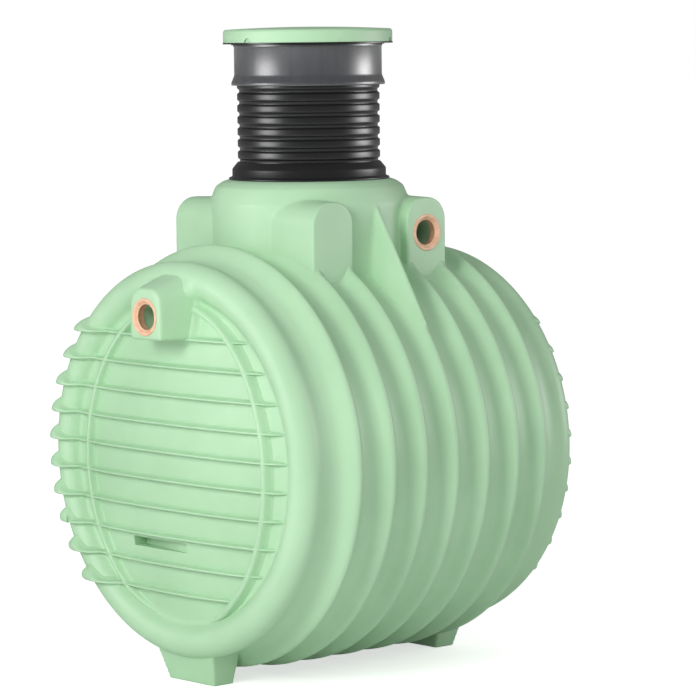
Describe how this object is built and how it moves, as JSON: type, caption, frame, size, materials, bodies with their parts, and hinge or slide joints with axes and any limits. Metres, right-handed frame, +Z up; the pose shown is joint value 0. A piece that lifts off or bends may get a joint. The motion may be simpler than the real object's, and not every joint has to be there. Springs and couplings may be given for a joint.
{
  "type": "underground water tank",
  "caption": "Ribbed lying plastic rainwater tank with domed ends, a neck with pipe connections and a telescopic access shaft under a lift-off lid.",
  "frame": {"origin": "on the floor under the middle of the neck and of the barrel", "axes": "+Z up; X along the lying barrel with the end that has the inlet towards -X; the outlet lug on the neck faces -Y"},
  "size_m": [1.875, 1.86, 2.8053],
  "materials": {
    "green_plastic": "light green rotationally moulded polyethylene, satin, slightly grained",
    "black_plastic": "black moulded polyethylene, satin",
    "grey_plastic": "dark grey extruded plastic tube, satin with soft highlights",
    "seal_rubber": "pale orange moulded lip seal, matt",
    "black_rubber": "black lip seal, matt"
  },
  "bodies": {
    "tank": {"barrel_wall_1": "green_plastic", "barrel_wall_2": "green_plastic", "barrel_wall_3": "green_plastic", "barrel_wall_4": "green_plastic", "barrel_wall_5": "green_plastic", "barrel_wall_6": "green_plastic", "barrel_wall_7": "green_plastic", "barrel_wall_8": "green_plastic", "front_dish": "green_plastic", "rear_dish": "green_plastic", "front_dish_ribs": "green_plastic", "rear_dish_ribs": "green_plastic", "inlet_boss": "green_plastic", "rear_boss": "green_plastic", "inlet_seal": "seal_rubber", "neck_wall": "green_plastic", "neck_shoulder": "green_plastic", "outlet_lug": "green_plastic", "near_front_lug": "green_plastic", "far_front_lug": "green_plastic", "far_rear_lug": "green_plastic", "outlet_seal": "seal_rubber", "near_gusset": "green_plastic", "far_gusset": "green_plastic", "front_foot": "green_plastic", "rear_foot": "green_plastic", "riser_base": "black_plastic", "riser": "black_plastic"},
    "sleeve": {"sleeve": "grey_plastic", "sleeve_seal": "black_rubber", "lid_seat": "black_plastic"},
    "lid": {"lid": "green_plastic"}
  },
  "joints": [
    {"name": "sleeve_slide", "type": "slide", "parent": "tank", "child": "sleeve", "axis": [0, 0, 1], "range_m": [-0.085, 0.03]},
    {"name": "lid_lift", "type": "slide", "parent": "sleeve", "child": "lid", "axis": [0, 0, 1], "range_m": [0, 0.3]}
  ]
}
